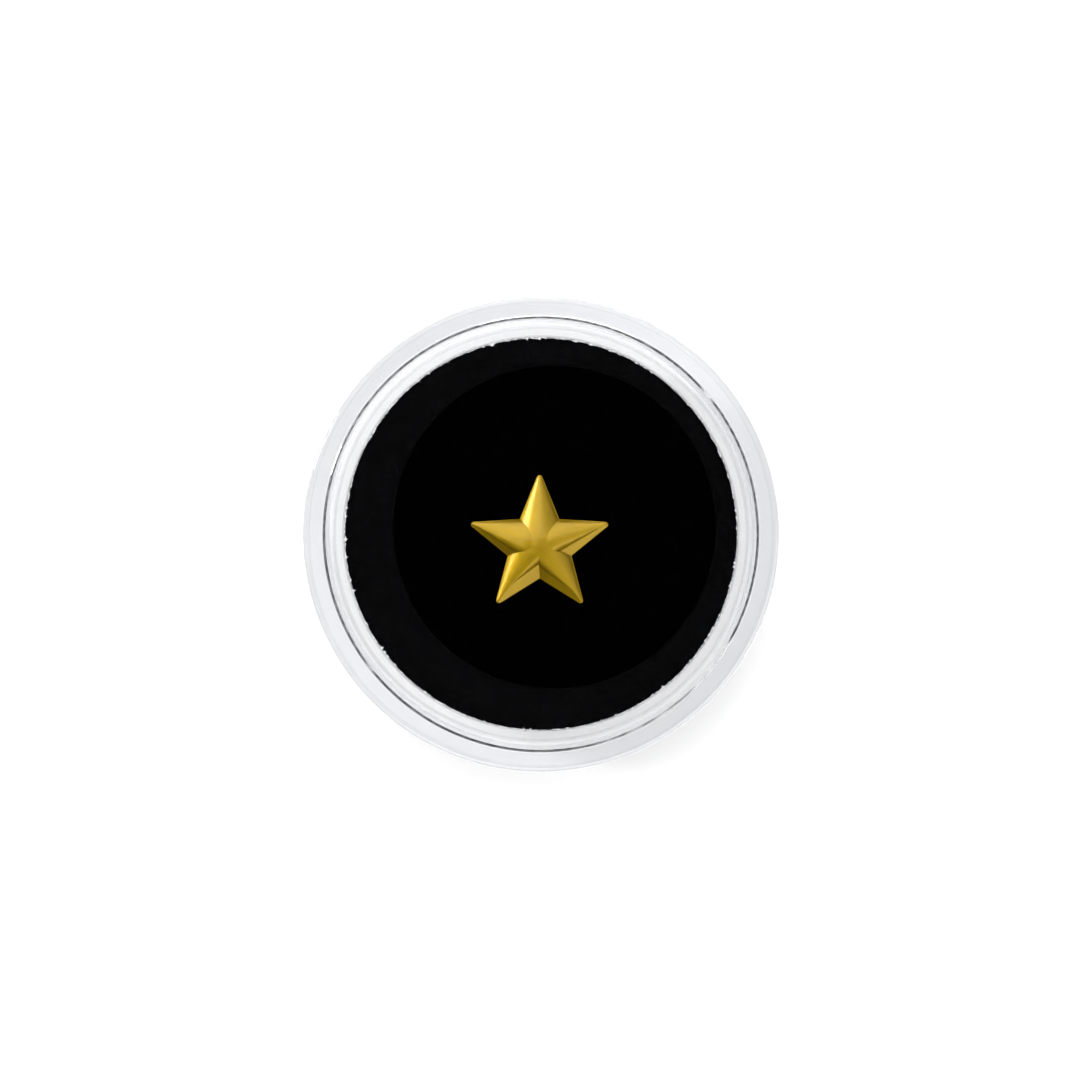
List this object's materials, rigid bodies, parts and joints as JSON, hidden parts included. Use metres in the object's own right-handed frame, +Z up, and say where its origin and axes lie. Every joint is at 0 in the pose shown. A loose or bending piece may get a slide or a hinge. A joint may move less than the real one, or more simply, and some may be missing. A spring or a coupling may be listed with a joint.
{
  "type": "coin capsule",
  "caption": "Round clear press-together capsule that holds a black foam ring and a matt disc carrying a puffed gold star.",
  "frame": {"origin": "centre of the bottom rim, on the surface that the closed capsule lies on", "axes": "+Z up along the capsule's axis, from the base to the lid; +Y towards the star's top point"},
  "size_m": [0.035, 0.035, 0.006],
  "materials": {
    "clear_base": "polished",
    "clear_lid": "polished",
    "black_foam": "matte",
    "matt_black": "matte",
    "gold": "satin"
  },
  "bodies": {
    "base": {"base_shell": "clear_base"},
    "lid": {"lid_shell": "clear_lid"},
    "insert": {"foam_ring": "black_foam"},
    "token": {"backing_disc": "matt_black", "star": "gold"}
  },
  "joints": [
    {"name": "lid_lift", "type": "slide", "parent": "base", "child": "lid", "axis": [0, 0, 1], "range_m": [0, 0.012]},
    {"name": "insert_turn", "type": "hinge", "parent": "base", "child": "insert", "pos_m": [0, 0, 0.0012], "axis": [0, 0, 1], "continuous": true},
    {"name": "token_turn", "type": "hinge", "parent": "insert", "child": "token", "pos_m": [0.001, 0.0005, 0.0012], "axis": [0, 0, 1], "continuous": true}
  ]
}
